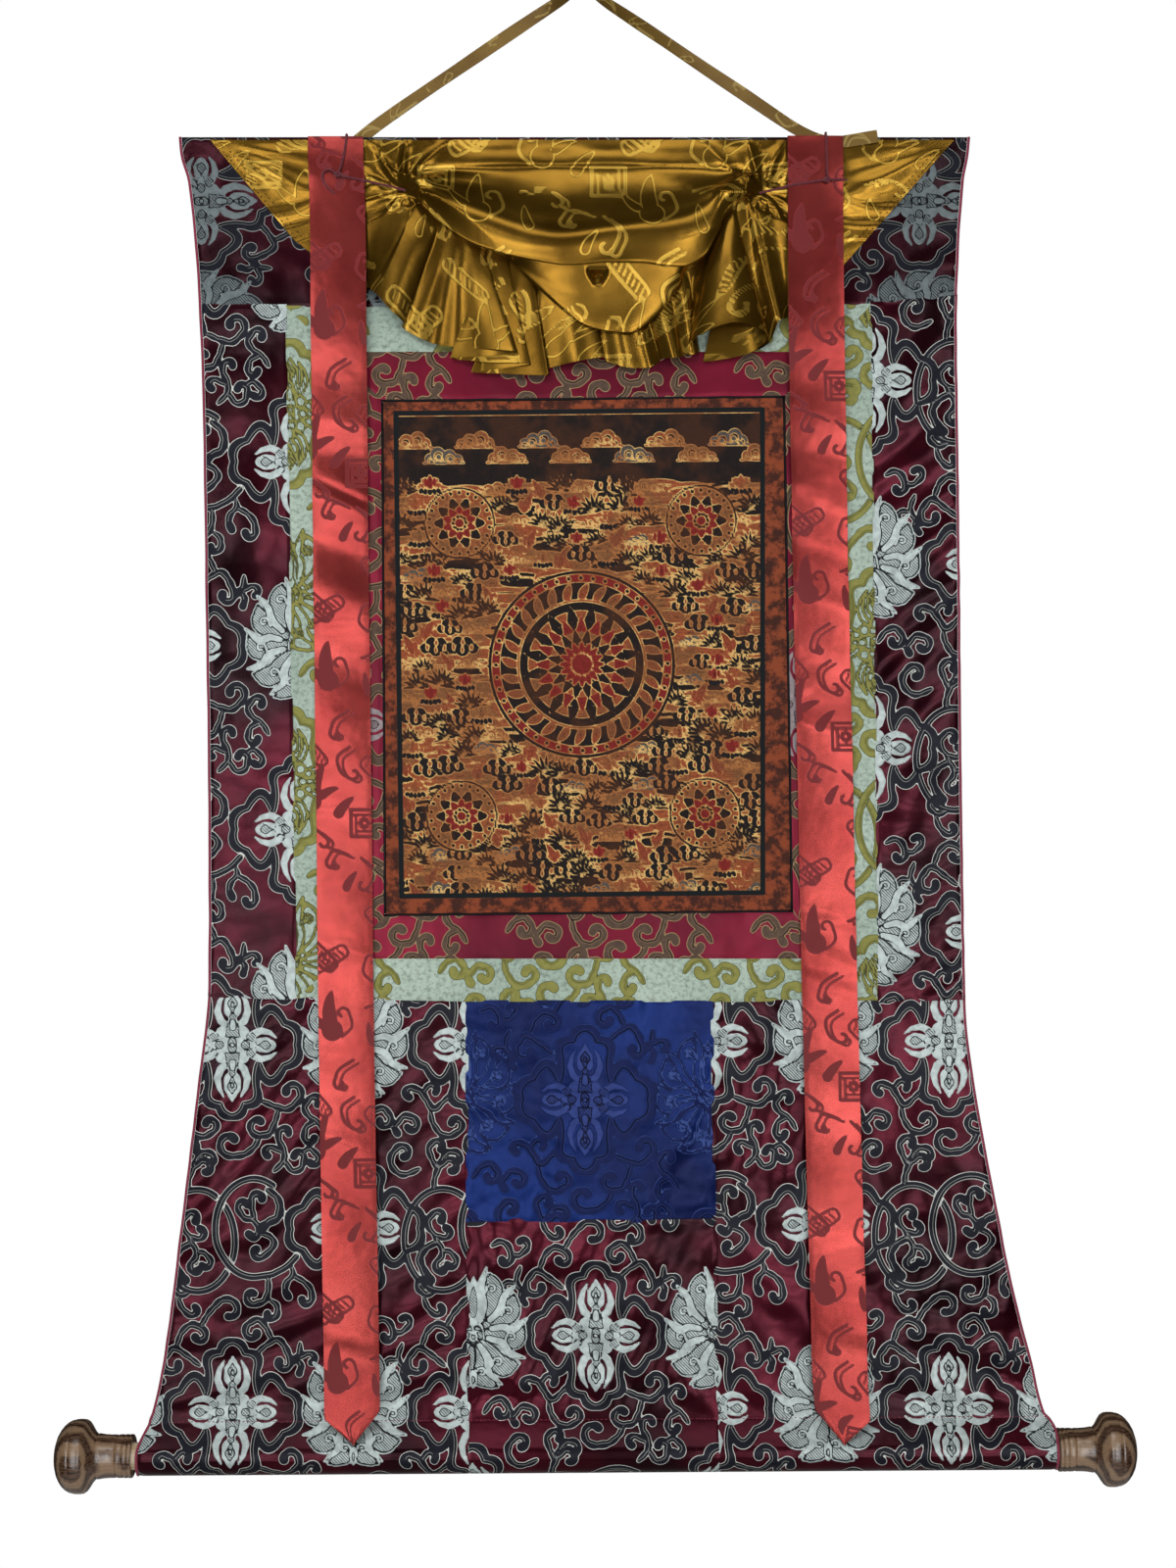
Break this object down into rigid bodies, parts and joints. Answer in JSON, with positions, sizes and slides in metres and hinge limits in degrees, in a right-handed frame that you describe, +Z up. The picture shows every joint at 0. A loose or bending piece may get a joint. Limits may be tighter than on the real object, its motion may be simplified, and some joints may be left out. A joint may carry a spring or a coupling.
{
  "type": "thangka scroll painting with its roller rod",
  "caption": "Painted canvas in a flared mount of sewn brocade, hung by a cloth tape, with a gathered satin veil, two long ribbons and a roller rod with turned finials.",
  "frame": {"origin": "the point where the hanging tape bears on its nail, in the plane of the mount's cloth", "axes": "+Z up, the front faces -Y, +X to the viewer's right"},
  "size_m": [1.0548, 0.0706, 1.4714],
  "materials": {
    "brocade": "maroon satin brocade, woven pattern",
    "blue_damask": "deep blue damask",
    "green_brocade": "grey-green brocade",
    "crimson_brocade": "crimson brocade",
    "painted_canvas": "matt painted cotton canvas",
    "black_piping": "black corded piping",
    "crimson_binding": "crimson corded binding",
    "gold_satin": "gold satin damask",
    "red_damask": "red satin damask",
    "maroon_cord": "twisted maroon cord",
    "gold_tape": "folded gold satin tape",
    "pale_wood": "bare pale wood",
    "dark_wood": "turned dark wood, satin"
  },
  "bodies": {
    "root": {"heading_panel": "brocade", "side_panel_left": "brocade", "side_panel_right": "brocade", "skirt_left": "brocade", "skirt_centre": "brocade", "skirt_right": "brocade", "door_patch": "blue_damask", "band_green_top": "green_brocade", "band_green_bottom": "green_brocade", "band_green_left": "green_brocade", "band_green_right": "green_brocade", "band_crimson_top": "crimson_brocade", "band_crimson_bottom": "crimson_brocade", "band_crimson_left": "crimson_brocade", "band_crimson_right": "crimson_brocade", "piping_top": "black_piping", "piping_bottom": "black_piping", "piping_left": "black_piping", "piping_right": "black_piping", "painting": "painted_canvas", "edge_binding_left": "crimson_binding", "edge_binding_right": "crimson_binding", "veil": "gold_satin", "ribbon_left": "red_damask", "ribbon_right": "red_damask", "tie_drop_left": "maroon_cord", "tie_knot_left": "maroon_cord", "tie_bow_left": "maroon_cord", "tie_wrap_left": "maroon_cord", "tie_drop_right": "maroon_cord", "tie_knot_right": "maroon_cord", "tie_wrap_right": "maroon_cord", "tie_back_right": "maroon_cord", "hanging_tape": "gold_tape", "rod": "pale_wood", "finial_left": "dark_wood", "finial_right": "dark_wood"}
  },
  "joints": []
}
